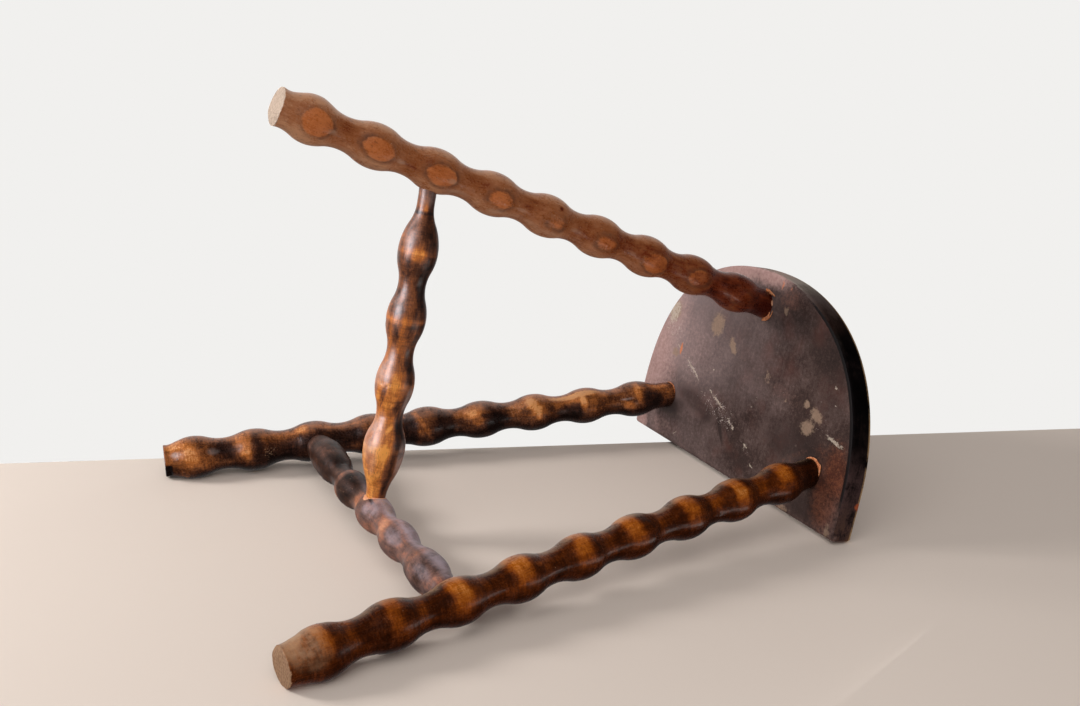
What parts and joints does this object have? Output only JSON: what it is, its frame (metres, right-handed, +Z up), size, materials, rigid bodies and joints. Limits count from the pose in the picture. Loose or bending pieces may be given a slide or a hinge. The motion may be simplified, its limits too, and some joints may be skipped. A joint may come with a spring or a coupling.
{
  "type": "milking stool",
  "caption": "Low wooden stool with a D-shaped seat on splayed bobbin-turned legs that are braced near the floor by a T of bobbin-turned rails.",
  "frame": {"origin": "on the floor, in the middle of the space that the stool takes up", "axes": "+Z up, +Y to the straight back edge of the seat, +X to the right when looking along +Y"},
  "size_m": [0.3622, 0.333, 0.452],
  "materials": {
    "seat_wood": "dark stained, worn matt",
    "front_leg_wood": "chestnut stained, satin",
    "rear_leg_wood": "dark walnut stain worn to amber on the beads, satin",
    "cross_rail_wood": "dark stained, dusty matt",
    "centre_rail_wood": "amber and dark stain, polished"
  },
  "bodies": {
    "root": {"seat": "seat_wood", "leg_front": "front_leg_wood", "leg_rear_left": "rear_leg_wood", "leg_rear_right": "rear_leg_wood", "rail_cross": "cross_rail_wood", "rail_centre": "centre_rail_wood"}
  },
  "joints": []
}
